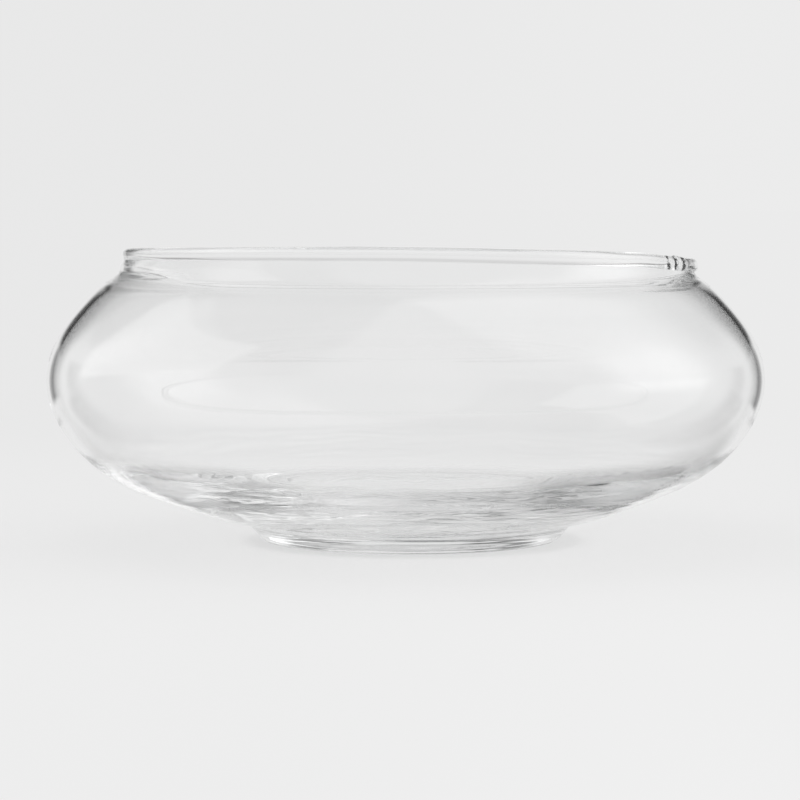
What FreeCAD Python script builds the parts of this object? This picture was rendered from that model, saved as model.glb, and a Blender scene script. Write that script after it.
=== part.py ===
import FreeCAD, Part
import math
import os

# Squat, bulging glass bowl on a low foot.
# Millimetres. +Z is up and is the axis of revolution. Z = 0 is the plane the resting
# ring of the foot stands on, and the origin is the centre of that ring.
# Three bodies of glass: the bowl, the rolled bead round its mouth and the solid foot.
# They touch face to face on two flat joint planes.
# Every section point is (radius, height).

os.makedirs("parts", exist_ok=True)

# ---------------------------------------------------------------- driving dimensions
MAX_RADIUS = 114.4        # belly, at its widest
MAX_RADIUS_Z = 51.2       # height of the widest point
TOTAL_HEIGHT = 92.0       # table to the top of the bead

BEAD_TUBE_R = 2.15        # bead, section radius
BEAD_RING_R = 90.0        # bead, centre line radius
BEAD_SEAT_HALF = 1.25     # half the width of the flat where the bead sits on the neck

WALL = 2.2                # wall of the shoulder and belly
NECK_WALL = 2.45          # wall at the neck
WALL_BLEND_STEPS = 4      # outer points over which the neck wall thins to WALL
FLOOR_Z = 15.5            # inside floor at the centre

FOOT_HEIGHT = 6.3         # joint plane between the bowl and the foot
FOOT_TOP_R = 54.0         # foot where it meets the bowl
REST_OUT_R = 45.6         # resting ring, outer edge
REST_IN_R = 40.5          # resting ring, inner edge
RECESS_DEPTH = 1.6        # hollow under the foot, at the centre

# Each long curve is cut up so that its turned faces stay short.
BOWL_PIECES = 8
FOOT_PIECES = 2

# ---------------------------------------------------------------- joints
bead_z = TOTAL_HEIGHT - BEAD_TUBE_R
seat_z = bead_z - math.sqrt(BEAD_TUBE_R ** 2 - BEAD_SEAT_HALF ** 2)
SEAT_INNER = (BEAD_RING_R - BEAD_SEAT_HALF, seat_z)
SEAT_OUTER = (BEAD_RING_R + BEAD_SEAT_HALF, seat_z)
FOOT_TOP_CENTRE = (0.0, FOOT_HEIGHT)
FOOT_TOP_EDGE = (FOOT_TOP_R, FOOT_HEIGHT)

# ---------------------------------------------------------------- sections
# Outside of the bowl, from the bead seat down to the foot.
OUTER = [
    SEAT_OUTER,
    (91.59, 86.95), (92.18, 85.91), (92.97, 85.01), (94.03, 84.1), (95.6, 82.86),
    (98.19, 80.51), (101.35, 77.31), (104.7, 73.59), (107.82, 69.69),
    (110.57, 65.52), (112.67, 60.99), (113.99, 56.17),
    (MAX_RADIUS, MAX_RADIUS_Z),
    (113.79, 46.24), (112.31, 41.47), (110.15, 36.96), (107.4, 32.79),
    (104.16, 28.99), (100.52, 25.56), (95.7, 22.0), (90.53, 18.96),
    (84.18, 16.02), (77.64, 13.51), (71.05, 11.16), (60.34, 7.74),
    FOOT_TOP_EDGE,
]
# OUTER points that the inner wall follows: from the neck to just below the belly.
WALLED_OUTER = OUTER[2:16]

# Inside floor and lower wall, from the axis outwards: (radius, rise above FLOOR_Z).
FLOOR_RISE = [
    (0.0, 0.0), (14.0, 0.05), (28.0, 0.2), (42.0, 0.6), (58.0, 1.4), (72.0, 2.8),
    (83.0, 4.7), (91.5, 7.4), (97.6, 10.8), (101.9, 14.4), (105.2, 18.1), (107.9, 22.1),
]

# Side of the foot, downwards: a tapered hollow, then a rounded lower corner.
FOOT_SIDE = [
    FOOT_TOP_EDGE,
    (52.1, 5.35), (50.6, 4.1), (49.5, 2.9), (48.5, 1.7), (47.3, 0.6),
    (REST_OUT_R, 0.0),
]

# Shallow hollow under the foot, from the resting ring to the axis.
FOOT_RECESS = [
    (REST_IN_R, 0.0),
    (38.6, 0.45), (34.0, 0.95), (24.0, 1.35), (12.0, RECESS_DEPTH - 0.05),
    (0.0, RECESS_DEPTH),
]


# ---------------------------------------------------------------- helpers
def vec(point):
    return FreeCAD.Vector(point[0], 0.0, point[1])


def line(start, end):
    return Part.makeLine(vec(start), vec(end))


def spline(section):
    """B-spline through the points, with centripetal spacing: the square root of each
    chord sets its share of the parameter, which keeps uneven points from overshooting."""
    points = [vec(point) for point in section]
    marks = [0.0]
    for start, end in zip(points, points[1:]):
        marks.append(marks[-1] + (end - start).Length ** 0.5)
    curve = Part.BSplineCurve()
    curve.interpolate(Points=points, Parameters=[mark / marks[-1] for mark in marks])
    return curve


def pieces(curve, count):
    """The curve as edges of equal parameter span."""
    low, high = curve.FirstParameter, curve.LastParameter
    edges = []
    for i in range(count):
        part = curve.copy()
        part.segment(low + (high - low) * i / count, low + (high - low) * (i + 1) / count)
        edges.append(part.toShape())
    return edges


def turn(edges, name):
    """Closes the section, turns it a full circle about Z and writes the solid."""
    face = Part.Face(Part.Wire(Part.__sortEdges__(edges)))
    solid = face.revolve(FreeCAD.Vector(0, 0, 0), FreeCAD.Vector(0, 0, 1), 360)
    # The direction of the section can leave the solid inside out.
    if solid.Volume < 0:
        solid.reverse()
    assert solid.isValid(), name
    solid.exportStep("parts/%s.step" % name)


# ---------------------------------------------------------------- bodies
def inner_section(outer):
    """Inside of the bowl, from the bead seat to the axis. Neck to belly runs one wall
    in from the outside; below that, the floor points thicken the glass."""
    section = [SEAT_INNER]
    for i, outer_point in enumerate(WALLED_OUTER):
        at = outer.parameter(vec(outer_point))
        point = outer.value(at)
        tangent = outer.tangent(at)[0]
        # Pointing down the section, so that the offset goes into the glass.
        if tangent.z > 0:
            tangent = tangent.negative()
        wall = WALL + (NECK_WALL - WALL) * max(0.0, 1.0 - i / WALL_BLEND_STEPS)
        section.append((point.x + tangent.z * wall, point.z - tangent.x * wall))
    floor = [(radius, FLOOR_Z + rise) for radius, rise in FLOOR_RISE]
    return section + floor[::-1]


def make_bowl_body():
    outer = spline(OUTER)
    inner = spline(inner_section(outer))
    turn(
        pieces(outer, BOWL_PIECES)
        + [
            line(FOOT_TOP_EDGE, FOOT_TOP_CENTRE),
            line(FOOT_TOP_CENTRE, (0.0, FLOOR_Z)),
        ]
        + pieces(inner, BOWL_PIECES)
        + [line(SEAT_INNER, SEAT_OUTER)],
        "bowl_body",
    )


def make_rim_bead():
    """Round bead with a flat underneath, where it sits on the neck."""
    arc = Part.Arc(vec(SEAT_INNER), vec((BEAD_RING_R, TOTAL_HEIGHT)), vec(SEAT_OUTER))
    turn([arc.toShape(), line(SEAT_OUTER, SEAT_INNER)], "rim_bead")


def make_foot():
    turn(
        [
            line(FOOT_TOP_CENTRE, FOOT_TOP_EDGE),
            line((REST_OUT_R, 0.0), (REST_IN_R, 0.0)),
            line((0.0, RECESS_DEPTH), FOOT_TOP_CENTRE),
        ]
        + pieces(spline(FOOT_SIDE), FOOT_PIECES)
        + pieces(spline(FOOT_RECESS), FOOT_PIECES),
        "foot",
    )


make_bowl_body()
make_rim_bead()
make_foot()
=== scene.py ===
"""A hand-blown clear glass bowl: a round body with a thick bottom, a rolled bead round the
lip, and a foot. It stands upright on z = 0 with its axis on Z. The front, where the camera
is, is -Y, and +X is on the right. Meshes are shaped in millimetres and stored in metres;
shaders and the stage work in metres."""
import math

import bmesh
import bpy
import numpy as np
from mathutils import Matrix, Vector


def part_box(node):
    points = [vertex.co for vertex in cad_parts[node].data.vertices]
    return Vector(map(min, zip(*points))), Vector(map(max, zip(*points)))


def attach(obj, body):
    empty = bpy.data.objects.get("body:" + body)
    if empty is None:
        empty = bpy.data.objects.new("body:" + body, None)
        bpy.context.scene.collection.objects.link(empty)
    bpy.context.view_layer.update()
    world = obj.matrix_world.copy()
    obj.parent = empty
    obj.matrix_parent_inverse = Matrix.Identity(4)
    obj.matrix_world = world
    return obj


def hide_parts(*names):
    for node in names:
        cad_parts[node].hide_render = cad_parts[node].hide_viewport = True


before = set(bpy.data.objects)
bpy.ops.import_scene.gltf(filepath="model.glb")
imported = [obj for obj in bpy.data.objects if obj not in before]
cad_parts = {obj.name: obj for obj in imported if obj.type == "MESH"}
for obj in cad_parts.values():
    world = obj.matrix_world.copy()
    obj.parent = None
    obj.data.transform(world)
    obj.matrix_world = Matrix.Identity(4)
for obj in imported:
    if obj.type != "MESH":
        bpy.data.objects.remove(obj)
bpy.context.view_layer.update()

# ------------------------------------------------------------------------------
# Sizes in millimetres, taken from the CAD pieces' own boxes where they give one
# ------------------------------------------------------------------------------
MM = 1000.0               # millimetres in a metre
bead_low, bead_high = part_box("rim_bead")
foot_low, foot_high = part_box("foot")
SEAT_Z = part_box("bowl_body")[1].z * MM       # where the bead sits on the neck
JOINT_Z = foot_high.z * MM                   # where the foot meets the body
FOOT_R = (foot_high.x - foot_low.x) / 2 * MM
BEAD_TUBE = 2.15          # radius of the bead's own thickness
BEAD_RING = (bead_high.x - bead_low.x) / 2 * MM - BEAD_TUBE
BEAD_Z = bead_high.z * MM - BEAD_TUBE
SEAT_HALF = 1.25          # half the width of the seat
SEAT_IN, SEAT_OUT = BEAD_RING - SEAT_HALF, BEAD_RING + SEAT_HALF
SEGMENTS, BEAD_SEGMENTS = 288, 720           # steps round the axis

# Sections, as (radius, height). The body's two run from the lip down.
OUTER = [
    (SEAT_OUT, SEAT_Z), (91.59, 86.95), (92.18, 85.91), (92.97, 85.01), (94.03, 84.1),
    (95.6, 82.86), (98.19, 80.51), (101.35, 77.31), (104.7, 73.59), (107.82, 69.69),
    (110.57, 65.52), (112.67, 60.99), (113.99, 56.17), (114.4, 51.2), (113.79, 46.24),
    (112.31, 41.47), (110.15, 36.96), (107.4, 32.79), (104.16, 28.99), (100.52, 25.56),
    (95.7, 22.0), (90.53, 18.96), (84.18, 16.02), (77.64, 13.51), (71.05, 11.16),
    (60.34, 7.74), (FOOT_R, JOINT_Z),
]
INNER = [
    (SEAT_IN, SEAT_Z), (89.64, 85.5), (90.35, 84.25), (91.31, 83.29), (92.59, 82.28),
    (94.15, 81.12), (96.66, 78.93), (99.75, 75.8), (103.03, 72.16), (106.05, 68.38),
    (108.66, 64.44), (110.61, 60.23), (111.83, 55.78), (112.2, 51.24), (111.64, 46.72),
    (110.26, 42.28), (107.9, 37.6), (105.2, 33.6), (101.9, 29.9), (97.6, 26.3), (91.5, 22.9),
    (83.0, 20.2), (72.0, 18.3), (58.0, 16.9), (42.0, 16.1), (28.0, 15.7), (14.0, 15.55),
    (0.0, 15.5),
]
# The foot's side runs down to the table, and the hollow under it from there to the axis.
FOOT_SIDE = [
    (FOOT_R, JOINT_Z), (52.1, 5.35), (50.6, 4.1), (49.5, 2.9), (48.5, 1.7), (47.3, 0.6),
    (46.6, 0.22), (45.6, 0.0),
]
FOOT_RECESS = [
    (40.5, 0.0), (39.6, 0.22), (38.6, 0.45), (34.0, 0.95), (24.0, 1.35), (12.0, 1.55), (0.0, 1.6),
]


# ------------------------------------------------------------------------------
# Smooth sections
# ------------------------------------------------------------------------------
def running_length(steps):
    return np.concatenate([[0], np.cumsum(steps)])


def spline(points, step):
    """Natural cubic spline through points, spaced as the root of chord length, then
    resampled at an even step along its length."""
    points = np.array(points, float)
    knots = running_length(np.sqrt(np.linalg.norm(np.diff(points, axis=0), axis=1)))
    count = len(knots)
    gap = np.diff(knots)
    slope = np.diff(points, axis=0) / gap[:, None]
    system = np.zeros((count, count))
    target = np.zeros((count, 2))
    system[0, 0] = system[-1, -1] = 1.0
    for i in range(1, count - 1):
        system[i, i - 1:i + 2] = gap[i - 1], 2 * (gap[i - 1] + gap[i]), gap[i]
        target[i] = 6 * (slope[i] - slope[i - 1])
    bend = np.linalg.solve(system, target)      # second derivative at each knot

    dense = np.linspace(0, knots[-1], 6000)
    k = np.clip(np.searchsorted(knots, dense, side="right") - 1, 0, count - 2)
    past = (dense - knots[k])[:, None]
    width = gap[k][:, None]
    curve = (
        points[k]
        + past * (slope[k] - width * (2 * bend[k] + bend[k + 1]) / 6)
        + past ** 2 * bend[k] / 2
        + past ** 3 * (bend[k + 1] - bend[k]) / (6 * width)
    )
    length = running_length(np.linalg.norm(np.diff(curve, axis=0), axis=1))
    even = np.linspace(0, length[-1], int(round(length[-1] / step)) + 1)
    return np.stack([np.interp(even, length, curve[:, axis]) for axis in (0, 1)], 1)


def fair(section, amount):
    """Takes the small curvature wobble out of an evenly spaced section. The ends stay put."""
    count = len(section)
    third = np.zeros((count - 3, count))        # third differences
    for i in range(count - 3):
        third[i, i:i + 4] = (-1, 3, -3, 1)
    weight = np.ones(count)
    weight[0] = weight[-1] = 1e6
    smooth = np.linalg.solve(
        np.diag(weight) + amount * third.T @ third, weight[:, None] * section)
    smooth[0], smooth[-1] = section[0], section[-1]
    return smooth


def straight(start, end, count):
    start, end = np.array(start, float), np.array(end, float)
    return start + (end - start) * np.linspace(0, 1, count + 1)[:, None]


# ------------------------------------------------------------------------------
# The unevenness of hand-blown glass. points are rows of x, y, z in millimetres.
# ------------------------------------------------------------------------------
def smoothstep(x, low, high):
    part = np.clip((x - low) / (high - low), 0, 1)
    return part * part * (3 - 2 * part)


def polar(points):
    """Radius and angle of each point round the axis."""
    return np.hypot(points[:, 0], points[:, 1]), np.arctan2(points[:, 1], points[:, 0])


rng = np.random.default_rng(7421)
# Waves round the body: count, phase turned per 30 mm of height, phase, size
WAVES = [
    (count, rng.uniform(-1, 1), rng.uniform(0, 2 * math.pi), rng.uniform(0.02, 0.07))
    for count in (2, 3, 4, 5, 7, 9, 11)
]


def uneven(points):
    """One field that every piece follows, so that faces that touch stay touching."""
    x, y, z = points.T
    radius, angle = polar(points)
    lip = smoothstep(z, 83.0, 88.3)
    # The lip dips towards +X, and stands a little higher at the front than at the back.
    right = 5.0 * np.log1p(np.exp((x - 2.0) / 5.0))      # x, eased to zero on the -X side
    rise = lip * (1.75 - 0.022 * right - 1.6 * smoothstep(x, 66.0, 92.0) - 0.0150 * y)
    # Towards +X the neck drops a little more than the top of the bead.
    rise -= 0.40 * lip * smoothstep(x, -40.0, 60.0) * (1 - smoothstep(z, 88.1, 91.0))
    # The body is round to within a fraction of a millimetre.
    swell = np.zeros_like(radius)
    for count, tilt, phase, size in WAVES:
        swell += size * np.sin(count * angle + phase + tilt * z / 30.0) / (1 + 0.18 * count)
    swell *= np.clip(radius / 60.0, 0, 1)
    # The foot and the lip both sit a little towards +X of the axis.
    low = 1 - smoothstep(z, 5.0, 17.0)
    sideways = 1.5 * low * np.clip(radius / 30.0, 0, 1) + 0.9 * lip
    # On the -X side the neck and lip are drawn in, most of all 85 mm up.
    left = smoothstep(-x, 50.0, 88.0)
    drawn_in = 0.7 * smoothstep(z, 86.5, 88.1) + 1.3 * np.exp(-((z - 85.0) / 1.5) ** 2)
    sideways += left * drawn_in
    scale = (radius + swell) / np.maximum(radius, 1e-9)
    return np.stack([x * scale + sideways, y * scale, z + rise], 1)


def ripple(radius, angle, seed, pitch, swirl=0.0):
    """Soft concentric cords left by the blowing: a value near -1..1 for each point.
    swirl drags them round in curls, as where the hot glass was turned on the punty."""
    draw = np.random.default_rng(seed)
    cells = 9

    def turn():
        return draw.uniform(0, 6.28)

    total = np.zeros_like(radius)
    for _ in range(cells):
        # The order of the draws sets the pattern.
        frequency = 2 * math.pi / (pitch * draw.uniform(0.6, 2.2))
        n = int(draw.integers(1, 4))         # slow waves round the axis
        m = int(draw.integers(5, 13))        # curls round the axis
        drag = swirl * (
            np.sin(m * angle + 0.07 * radius * draw.uniform(-1, 1) + turn())
            + 0.7 * np.sin((2 * m + 1) * angle + 0.11 * radius * draw.uniform(-1, 1) + turn())
        )
        total += draw.uniform(0.4, 1.0) * np.sin(
            frequency * radius + turn()
            + draw.uniform(0.5, 2.4) * np.sin(n * angle + turn())
            + draw.uniform(0.2, 0.9) * np.sin((n + 2) * angle + turn()) + drag
        ) * (0.55 + 0.45 * np.sin(n * angle + turn()))
    return total / math.sqrt(cells)


# ------------------------------------------------------------------------------
# Turning a section into a closed mesh
# ------------------------------------------------------------------------------
GLASS, JOINT = 0, 1       # material slots


def turned(name, loops, materials, shape, segments=SEGMENTS):
    """loops: list of (section, material slot). The sections run one after the other round
    the closed outline, each starting where the last one ended. A point on the axis becomes
    a single vertex. shape moves the points before the unevenness is added."""
    outline, slots = [], []
    for section, slot in loops:
        outline.extend(section[:-1])
        slots += [slot] * (len(section) - 1)
    angle = np.linspace(0, 2 * math.pi, segments, endpoint=False)
    rings, rows = [], []
    total = 0
    for radius, z in outline:
        if radius < 1e-6:
            ring = np.array([[0.0, 0.0, z]])
        else:
            ring = np.stack(
                [radius * np.cos(angle), radius * np.sin(angle), np.full(segments, z)], 1)
        rings.append(ring)
        rows.append(range(total, total + len(ring)))
        total += len(ring)
    points = uneven(shape(np.vstack(rings)))

    faces, face_slots = [], []
    for here, after, slot in zip(rows, rows[1:] + rows[:1], slots):
        if len(here) == 1 and len(after) == 1:
            continue
        for k in range(segments):
            l = (k + 1) % segments
            if len(here) == 1:
                faces.append((here[0], after[k], after[l]))
            elif len(after) == 1:
                faces.append((here[k], after[0], here[l]))
            else:
                faces.append((here[k], after[k], after[l], here[l]))
            face_slots.append(slot)
    mesh = bpy.data.meshes.new(name)
    mesh.from_pydata((points / MM).tolist(), [], faces)
    for material in materials:
        mesh.materials.append(material)
    mesh.polygons.foreach_set("material_index", face_slots)
    mesh.polygons.foreach_set("use_smooth", [True] * len(faces))
    mesh.update()
    finish_edges(mesh)
    return link(name, mesh)


def finish_edges(mesh):
    """Points the normals outwards and makes the edges of the joint faces sharp, so that
    the outside shades smoothly."""
    editable = bmesh.new()
    editable.from_mesh(mesh)
    bmesh.ops.recalc_face_normals(editable, faces=editable.faces)
    for edge in editable.edges:
        if len({face.material_index for face in edge.link_faces}) == 2:
            edge.smooth = False
    editable.to_mesh(mesh)
    editable.free()


def link(name, data):
    thing = bpy.data.objects.new(name, data)
    bpy.context.scene.collection.objects.link(thing)
    return thing


def register(piece, part):
    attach(piece, "root")
    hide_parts(part)


# ------------------------------------------------------------------------------
# Node graphs
# ------------------------------------------------------------------------------
class Signal:
    """One output of a node. +, -, * and the methods each add a node that reads it."""

    def __init__(self, tree, socket):
        self.tree = tree
        self.socket = socket

    def math(self, operation, other=None):
        inputs = {0: self} if other is None else {0: self, 1: other}
        return self.tree.value("ShaderNodeMath", inputs, operation=operation)

    def __add__(self, other):
        return self.math("ADD", other)

    def __mul__(self, other):
        return self.math("MULTIPLY", other)

    def __sub__(self, other):
        return self.math("SUBTRACT", other)

    def __rsub__(self, number):
        return self.tree.value("ShaderNodeMath", {0: number, 1: self}, operation="SUBTRACT")

    def step(self, start, end):
        """0 at start, 1 at end, smooth between. start may be above end."""
        rising = start <= end
        return self.tree.value("ShaderNodeMapRange", {
            "Value": self,
            "From Min": min(start, end),
            "From Max": max(start, end),
            "To Min": 0.0 if rising else 1.0,
            "To Max": 1.0 if rising else 0.0,
        }, interpolation_type="SMOOTHSTEP", clamp=True)

    def band(self, start, full, fade, end):
        """Rises from start to full, falls from fade to end."""
        return self.step(start, full) * self.step(end, fade)


class Tree:
    """The emptied node graph of a material or world. Inputs are {name or index: value}."""

    def __init__(self, owner):
        owner.use_nodes = True
        self.graph = owner.node_tree
        self.graph.nodes.clear()

    def node(self, kind, inputs=None, **settings):
        node = self.graph.nodes.new(kind)
        for name, setting in settings.items():
            setattr(node, name, setting)
        for key, value in (inputs or {}).items():
            if isinstance(value, Signal):
                self.graph.links.new(value.socket, node.inputs[key])
            else:
                node.inputs[key].default_value = value
        return node

    def value(self, kind, inputs=None, output=0, **settings):
        return Signal(self, self.node(kind, inputs, **settings).outputs[output])

    def outputs(self, kind, names, inputs=None):
        node = self.node(kind, inputs)
        return [Signal(self, node.outputs[name]) for name in names]

    def separate(self, vector):
        return self.outputs("ShaderNodeSeparateXYZ", "XYZ", {"Vector": vector})

    def mix(self, amount, none, full):
        return self.value("ShaderNodeMix", {0: amount, 2: none, 3: full}, data_type="FLOAT")

    def colour(self, amount, none, full):
        return self.value(
            "ShaderNodeMix", {0: amount, 6: none, 7: full}, output=2, data_type="RGBA")

    def grey(self, level):
        return self.value("ShaderNodeCombineColor", dict.fromkeys(range(3), level))

    def shader(self, amount, none, full):
        return self.value("ShaderNodeMixShader", {0: amount, 1: none, 2: full})

    def noise(self, vector, scale, detail, roughness):
        return self.value("ShaderNodeTexNoise", {
            "Vector": vector, "Scale": scale, "Detail": detail, "Roughness": roughness})


# ------------------------------------------------------------------------------
# Materials of the bowl
# ------------------------------------------------------------------------------
def glass(name, cord_depth, cord_scale, grime=0.0, worn=None, seed=0.0):
    """Clear fire-polished glass: horizontal cords from the blowing, soft pull marks and a
    very light grey-green tone. worn gives the radii of a scuffed ring on the underside."""
    material = bpy.data.materials.new(name)
    tree = Tree(material)
    position = tree.value("ShaderNodeTexCoord", output="Object")
    x, y, z = tree.separate(position)
    radius = (x * x + y * y).math("SQRT")
    # Cords run round the axis, so the noise is read in radius and height, and drifts
    # slowly with direction.
    round_axis = tree.value("ShaderNodeCombineXYZ", {
        "X": radius * 1.0 + x * 0.05,
        "Y": y * 0.05 + seed,
        "Z": z * 1.0 + x * 0.02,
    })
    cord = tree.noise(round_axis, cord_scale, detail=3.0, roughness=0.55)
    wide = tree.noise(position, 26.0, detail=2.0, roughness=0.5)
    fine = tree.noise(round_axis, cord_scale * 4.2, detail=2.0, roughness=0.6)
    bump = tree.value("ShaderNodeBump", {
        "Strength": 1.0,
        "Distance": cord_depth,
        "Height": cord * 1.0 + (wide * 1.2 + fine * 0.12),
    })
    tone = (cord * 0.6 + wide * 0.4).step(0.35, 0.68)
    rough = wide.step(0.55, 0.85) * (0.006 + grime)
    if worn is not None:
        inside, outside = worn
        scuff = (radius.band(inside - 0.0012, inside, outside, outside + 0.0008)
                 * z.step(0.0009, 0.0002))
        scratch = tree.noise(position, 900.0, detail=3.0, roughness=0.7)
        rough = rough + scuff * (scratch * 0.35).math("ADD", 0.10) if False else (
            rough + scuff * tree.value(
                "ShaderNodeMath", {0: 0.10, 1: scratch * 0.35}, operation="ADD"))
    surface = tree.value("ShaderNodeBsdfPrincipled", {
        "IOR": 1.5,
        "Transmission Weight": 1.0,
        "Base Color": tree.colour(tone, (0.980, 0.982, 0.982, 1), (1.0, 1.0, 1.0, 1)),
        "Roughness": rough,
        "Normal": bump,
    })
    # A shadow ray passes, dimmed where the wall is seen edge on, as real glass shades a table.
    shadow, diffuse = tree.outputs(
        "ShaderNodeLightPath", ("Is Shadow Ray", "Is Diffuse Ray"))
    edge_on = tree.value("ShaderNodeLayerWeight", {"Blend": 0.35}, output="Facing")
    dimming = tree.colour(edge_on, (0.985, 0.985, 0.985, 1), (0.80, 0.80, 0.80, 1))
    clear = tree.value("ShaderNodeBsdfTransparent", {"Color": dimming})
    finish_glass(tree, tree.shader(shadow.math("MAXIMUM", diffuse), surface, clear))
    return material


def fused(name):
    """A hot joint inside the glass: light passes straight on, but for faint specks."""
    material = bpy.data.materials.new(name)
    tree = Tree(material)
    position = tree.value("ShaderNodeTexCoord", output="Object")
    specks = tree.noise(position, 420.0, detail=2.0, roughness=0.5).step(0.72, 0.8)
    tint = tree.colour(specks, (1, 1, 1, 1), (0.96, 0.97, 0.97, 1))
    finish_glass(tree, tree.value("ShaderNodeBsdfTransparent", {"Color": tint}))
    return material


def finish_glass(tree, surface):
    """Adds the depth: the glass takes a little light for every centimetre passed through."""
    depth = tree.value("ShaderNodeVolumeAbsorption", {
        "Color": (0.515, 0.532, 0.530, 1), "Density": 0.6})
    tree.node("ShaderNodeOutputMaterial", {"Surface": surface, "Volume": depth})


# ------------------------------------------------------------------------------
# bowl_body: wall, neck and thick bottom
# ------------------------------------------------------------------------------
SWIRL = 1.5
# Cords, in mm: pitch and height on the inside floor, then on the underside
FLOOR_PITCH, FLOOR_CORD = 9.0, 0.03
UNDER_PITCH, UNDER_CORD = 5.5, 0.12


def on_lower(section, radius, z, top):
    """Which points lie on the part of a section below its widest place, and below top."""
    upward = section[::-1]
    lower = upward[:np.argmax(upward[:, 0])]
    return (np.abs(z - np.interp(radius, lower[:, 0], lower[:, 1])) < 0.05) & (z < top)


def make_body(materials):
    outer = fair(spline(OUTER, 0.9), 60.0)
    inner = fair(spline(INNER, 0.9), 60.0)

    def cords(points):
        """Cords pressed into the thick bottom: on the cavity's floor and the underside."""
        radius, angle = polar(points)
        z = points[:, 2]
        floor = (ripple(radius, angle, 11, FLOOR_PITCH, SWIRL) * FLOOR_CORD
                 * smoothstep(radius, 6.0, 30.0) * (1 - smoothstep(z, 24.0, 40.0)))
        clear_r = FOOT_R + 1.5        # the underside is left plain up to here
        under = (ripple(radius, angle, 23, UNDER_PITCH, SWIRL) * UNDER_CORD
                 * smoothstep(radius, clear_r, FOOT_R + 8) * (1 - smoothstep(z, 18.0, 34.0)))
        on_floor = on_lower(inner, radius, z, top=45)
        on_under = on_lower(outer, radius, z, top=40) & (radius > clear_r) & ~on_floor
        moved = points.copy()
        moved[:, 2] += np.where(on_floor, floor, 0) + np.where(on_under, under, 0)
        return moved

    centre = (0.0, JOINT_Z)
    bowl = turned("bowl_body_glass", [
        (outer, GLASS),
        (straight(outer[-1], centre, 12), JOINT),
        ([centre, inner[-1]], GLASS),
        (inner[::-1], GLASS),
        (straight(inner[0], outer[0], 4), JOINT),
    ], materials, cords)
    register(bowl, "bowl_body")


# ------------------------------------------------------------------------------
# rim_bead: a rolled thread of glass, with the lap where its two ends meet
# ------------------------------------------------------------------------------
LAP = math.radians(-24.0)      # direction of the lap, from +X towards the front


def bead_shape(points):
    """The thread's thickness wanders a little, and swells and twists where its ends lap."""
    radius, angle = polar(points)
    outward, upward = radius - BEAD_RING, points[:, 2] - BEAD_Z
    free = smoothstep(points[:, 2], SEAT_Z, SEAT_Z + 0.8)      # the seat itself stays put
    grow = (0.03 * np.sin(3 * angle + 0.6) + 0.025 * np.sin(7 * angle + 2.0)
            + 0.015 * np.sin(17 * angle))
    # Thinner on the -X side.
    grow -= 0.16 * np.exp(-((np.abs(angle) - math.pi) / 0.5) ** 2)
    # Distance along the thread from the lap, which swells between two slanting notches.
    along = ((angle - LAP + math.pi) % (2 * math.pi) - math.pi) * BEAD_RING
    slant = 0.9 * outward
    grow += 0.20 * np.exp(-(along / 5.0) ** 2)
    grow -= 0.24 * (np.exp(-((along + 3.2 + slant) / 1.2) ** 2)
                    + 0.9 * np.exp(-((along - 3.0 + slant) / 1.1) ** 2))
    scale = 1 + grow * free
    radius = BEAD_RING + outward * scale
    return np.stack(
        [radius * np.cos(angle), radius * np.sin(angle), BEAD_Z + upward * scale], 1)


def make_bead(materials):
    # From the inner seat edge, over the top, to the outer seat edge.
    start = math.atan2(SEAT_Z - BEAD_Z, -SEAT_HALF) % (2 * math.pi)
    end = math.atan2(SEAT_Z - BEAD_Z, SEAT_HALF)
    turn = np.linspace(start, end, 45)
    arc = np.stack([BEAD_RING + BEAD_TUBE * np.cos(turn), BEAD_Z + BEAD_TUBE * np.sin(turn)], 1)
    arc[0], arc[-1] = (SEAT_IN, SEAT_Z), (SEAT_OUT, SEAT_Z)
    bead = turned("rim_bead_glass", [
        (arc, GLASS),
        (straight(arc[-1], arc[0], 4), JOINT),
    ], materials, bead_shape, BEAD_SEGMENTS)
    register(bead, "rim_bead")


# ------------------------------------------------------------------------------
# foot
# ------------------------------------------------------------------------------
def foot_cords(points):
    """The underside was cut off hot, so its hollow is gently rippled."""
    radius, angle = polar(points)
    hollow = (points[:, 2] < 2.2) & (radius < 40.0)
    height = (0.10 * ripple(radius, angle, 31, pitch=9.0)
              * smoothstep(radius, 2.0, 12.0) * (1 - smoothstep(radius, 35.0, 40.0)))
    moved = points.copy()
    moved[:, 2] += np.where(hollow, height, 0)
    return moved


def make_foot(materials):
    side = spline(FOOT_SIDE, 0.35)
    recess = spline(FOOT_RECESS, 0.6)
    centre = (0.0, JOINT_Z)
    foot = turned("foot_glass", [
        (straight(centre, side[0], 12), JOINT),
        (side, GLASS),
        (straight(side[-1], recess[0], 8), GLASS),
        (recess, GLASS),
        ([recess[-1], centre], GLASS),
    ], materials, foot_cords)
    register(foot, "foot")


# ------------------------------------------------------------------------------
# Stage: pale floor, studio surround, light, camera. Metres from here on.
# ------------------------------------------------------------------------------
PALE = 0.812              # brightness of the floor and the backdrop as the camera sees them
ACROSS = (0.25, 0.95)     # both brighten between these fractions of the picture's width


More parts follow.
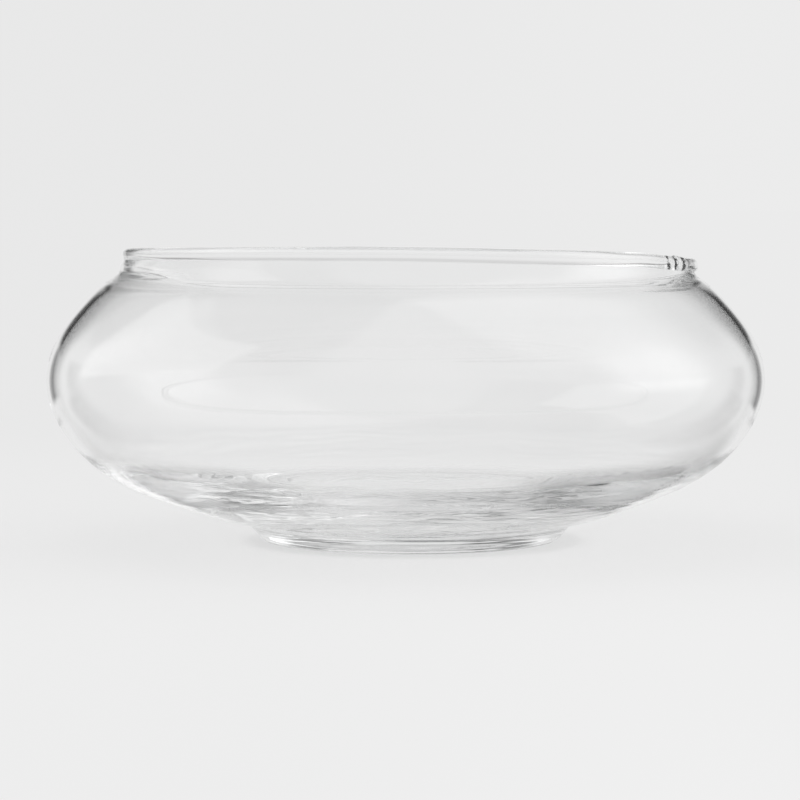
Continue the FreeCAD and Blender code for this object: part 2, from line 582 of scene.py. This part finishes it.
def make_floor():
    radii = [0.05, 0.1, 0.15, 0.2, 0.3, 0.45, 0.7, 1.0, 1.5, 2.2, 3.2, 4.6, 30.0]
    segments = 96
    turns = [2 * math.pi * k / segments for k in range(segments)]
    points = [(0, 0, 0)]
    points += [(r * math.cos(turn), r * math.sin(turn), 0) for r in radii for turn in turns]
    faces = []
    for i in range(len(radii)):
        outside = 1 + i * segments
        inside = outside - segments
        for k in range(segments):
            l = (k + 1) % segments
            if i == 0:
                faces.append((0, outside + k, outside + l))
            else:
                faces.append((inside + k, outside + k, outside + l, inside + l))
    mesh = bpy.data.meshes.new("floor")
    mesh.from_pydata(points, [], faces)
    floor = link("floor", mesh)
    floor.location.z = -0.0002
    mesh.materials.append(floor_material())


def floor_material():
    material = bpy.data.materials.new("pale_floor")
    tree = Tree(material)
    position, window = tree.outputs("ShaderNodeTexCoord", ("Object", "Window"))
    x, y, _ = tree.separate(position)
    radius = (x * x + y * y).math("SQRT")
    # Painted light: the floor is drawn a little brighter nearer the camera and towards the right
    # of the picture.
    near = tree.value("ShaderNodeCameraData", output="View Distance").step(1.03, 0.78)
    level = (tree.mix(near, PALE, PALE + 0.040)
             + tree.separate(window)[0].step(*ACROSS) * 0.020)
    # Painted contact shadow and painted light: the patch under the foot is drawn dimmer to the
    # direct view, and brighter through the glass.
    glossy, transmitted, turns = tree.outputs(
        "ShaderNodeLightPath", ("Is Glossy Ray", "Is Transmission Ray", "Glossy Depth"))
    in_glass = glossy.math("MAXIMUM", transmitted)
    level = level * tree.mix(radius.step(0.036, 0.056), tree.mix(in_glass, 0.93, 1.05), 1.0)
    # Painted shadow of the belly: a dark ring drawn on the table, cut to the left and right of
    # the front half.
    ring = radius.band(0.060, 0.070, 0.103, 0.114) * (
        x.math("ABSOLUTE").step(0.026, 0.048) * y.band(-0.098, -0.076, -0.006, 0.020))
    # Only light that turned inside the glass wall picks up this painted shadow, not the view
    # straight through.
    ring = ring * (in_glass * turns.math("GREATER_THAN", 0.5))
    painted_ring_shadow_level = tree.mix(x.step(-0.01, 0.01), 0.10, 0.0)      # left, right
    level = tree.mix(ring, level, painted_ring_shadow_level)
    glow = tree.value("ShaderNodeEmission", {"Color": tree.grey(level)})
    matt = tree.value("ShaderNodeBsdfDiffuse", {"Color": (0.80, 0.80, 0.80, 1)})
    # The painted shadow ring is drawn wholly as glow.
    glow_share = (radius.step(0.16, 0.60) * 0.30 + 0.70).math("MAXIMUM", ring)
    table = tree.shader(glow_share, matt, glow)
    # Seen in or through the glass, the table ends a short way from the bowl, as a studio
    # table does, and the surround takes over.
    gone = tree.value("ShaderNodeBsdfTransparent")
    beyond = in_glass * radius.step(0.060, 0.085) * (1.0 - ring)
    tree.node("ShaderNodeOutputMaterial", {"Surface": tree.shader(beyond, table, gone)})
    return material


def view_angles(tree, generated):
    """Azimuth (0 ahead of the camera, + to the right) and elevation, in degrees."""
    def to_camera(vector):
        return tree.value("ShaderNodeVectorTransform", {"Vector": vector},
                          vector_type="VECTOR", convert_from="WORLD", convert_to="CAMERA")

    def vector_math(operation, inputs, output=0):
        return tree.value("ShaderNodeVectorMath", dict(enumerate(inputs)), output,
                          operation=operation)

    def dot(a, b):
        return vector_math("DOT_PRODUCT", (a, b), "Value")

    direction = vector_math("NORMALIZE", [generated])
    seen = to_camera(direction)
    up = to_camera(tree.value("ShaderNodeCombineXYZ", {"Z": 1.0}))
    level_ahead = vector_math("CROSS_PRODUCT", ((1.0, 0.0, 0.0), up))
    ahead = dot(seen, level_ahead)
    aside = dot(seen, (1.0, 0.0, 0.0))
    height = dot(direction, (0.0, 0.0, 1.0))
    degrees = 180 / math.pi
    return aside.math("ARCTAN2", ahead) * degrees, height.math("ARCSINE") * degrees


def make_surround():
    world = bpy.data.worlds.new("studio")
    bpy.context.scene.world = world
    tree = Tree(world)
    generated, window = tree.outputs("ShaderNodeTexCoord", ("Generated", "Window"))
    azimuth, elevation = view_angles(tree, generated)
    off_centre = azimuth.math("ABSOLUTE")

    # Two unlit gaps ahead, one on either side, starting a little lower on the right.
    edge = azimuth.step(-2.0, 2.0) * -2.0
    gap = off_centre.band(10.0, 17.0, 28.0, 40.0) * (
        (elevation - edge).step(-8.5, -6.5) * elevation.step(46.0, 12.0))
    gap = gap * elevation.step(3.0, 7.0).math("MAXIMUM", off_centre.step(19.0, 24.0) * 0.72)
    # A lit panel on the left, with slanting edges.
    slant = -55.0 - azimuth
    left_panel = azimuth.step(-115.0, -112.0) * (azimuth - elevation * 0.2).step(-54.0, -57.0) * (
        (elevation - slant * 0.386).step(2.0, 4.5)
        * (elevation - slant * 0.117).step(47.6, 45.2))
    # Below the horizon: left and right levels, paler outside two patches ahead.
    patches = off_centre.band(9.0, 18.0, 34.0, 56.0) * elevation.band(-60.0, -44.0, -24.0, -15.0)
    below = tree.mix(patches, 0.84, tree.mix(azimuth.step(-10.0, 10.0), 0.66, 0.46))

    # Ahead, the left side and the right side, then (region, brightness) laid over in turn.
    ahead_left = tree.mix(azimuth.step(-50.0, -80.0), 0.80, 0.78)
    level = tree.mix(azimuth.step(50.0, 80.0), ahead_left, 1.12)
    for region, brightness in (
        # high up ahead
        (elevation.step(9.0, 24.0) * off_centre.step(62.0, 40.0), 0.66),
        # behind the camera
        (off_centre.step(116.0, 140.0), 0.92),
        # high, behind the left panel
        (azimuth.band(-156.0, -138.0, -115.0, -112.0) * elevation.step(16.0, 28.0), 0.60),
        # above the left panel
        (azimuth.band(-126.0, -104.0, -24.0, -16.0) * elevation.step(50.0, 54.0), 0.50),
        (left_panel, 1.12),
        # high on the right
        (azimuth.band(30.0, 78.0, 120.0, 140.0) * elevation.step(22.0, 50.0), 1.30),
        # the lit panel on the right
        (azimuth.band(60.0, 86.0, 100.0, 118.0) * elevation.band(-5.0, 7.0, 24.0, 52.0), 2.05),
        (elevation.step(-5.0, -24.0), below),
        (gap, 0.05),
    ):
        level = tree.mix(region, level, brightness)

    # The camera sees a plain backdrop, and matt surfaces are lit evenly.
    camera_ray, diffuse_ray = tree.outputs(
        "ShaderNodeLightPath", ("Is Camera Ray", "Is Diffuse Ray"))
    backdrop = tree.separate(window)[0].step(*ACROSS) * 0.024 + PALE
    level = tree.mix(diffuse_ray, tree.mix(camera_ray, level, backdrop), 0.85)
    background = tree.value("ShaderNodeBackground", {"Color": tree.grey(level)})
    tree.node("ShaderNodeOutputWorld", {"Surface": background})


def make_lamp():
    """One large soft lamp overhead, for the table only: the glass shows the surround."""
    light = bpy.data.lights.new("overhead", "AREA")
    light.shape = "RECTANGLE"
    light.size, light.size_y = 1.2, 1.0
    light.energy = 5.0
    lamp = link("overhead", light)
    lamp.location = (-0.35, 0.15, 1.3)
    to_bowl = Vector((0.0, 0.0, 0.0)) - lamp.location
    lamp.rotation_euler = to_bowl.to_track_quat("-Z", "Y").to_euler()
    lamp.visible_glossy = False
    lamp.visible_transmission = False
    lamp.visible_camera = False


def make_camera():
    """A metre in front of the bowl, a little above the lip, looking slightly down."""
    view_angle, pitch = math.radians(14.305), math.radians(3.59)
    lens = bpy.data.cameras.new("camera")
    lens.sensor_width = 36.0
    lens.lens = lens.sensor_width / (2 * math.tan(view_angle / 2))
    lens.clip_start, lens.clip_end = 0.01, 100.0
    camera = link("camera", lens)
    camera.location = (-0.00175, -1.020, 0.1088)
    camera.rotation_euler = (math.pi / 2 - pitch, 0.0, 0.0)
    bpy.context.scene.camera = camera


def set_render():
    scene = bpy.context.scene
    scene.view_settings.view_transform = "Standard"
    scene.view_settings.look = "None"
    # Light runs a long way inside a thick glass bottom before it finds its way out.
    scene.cycles.max_bounces = 160
    scene.cycles.transmission_bounces = 160
    scene.cycles.glossy_bounces = 160
    scene.cycles.transparent_max_bounces = 32
    scene.cycles.caustics_reflective = False
    scene.cycles.caustics_refractive = False


body_glass = glass("clear_glass_body", cord_depth=0.000012, cord_scale=90.0)
bead_glass = glass("clear_glass_bead", cord_depth=0.00001, cord_scale=120.0, seed=3.1)
foot_glass = glass(
    "clear_glass_foot", cord_depth=0.00003, cord_scale=150.0, grime=0.004,
    worn=(FOOT_RECESS[0][0] / MM, FOOT_SIDE[-1][0] / MM), seed=7.7)
joint = fused("fused_joint")
make_body([body_glass, joint])
make_bead([bead_glass, joint])
make_foot([foot_glass, joint])
make_floor()
make_surround()
make_lamp()
make_camera()
set_render()
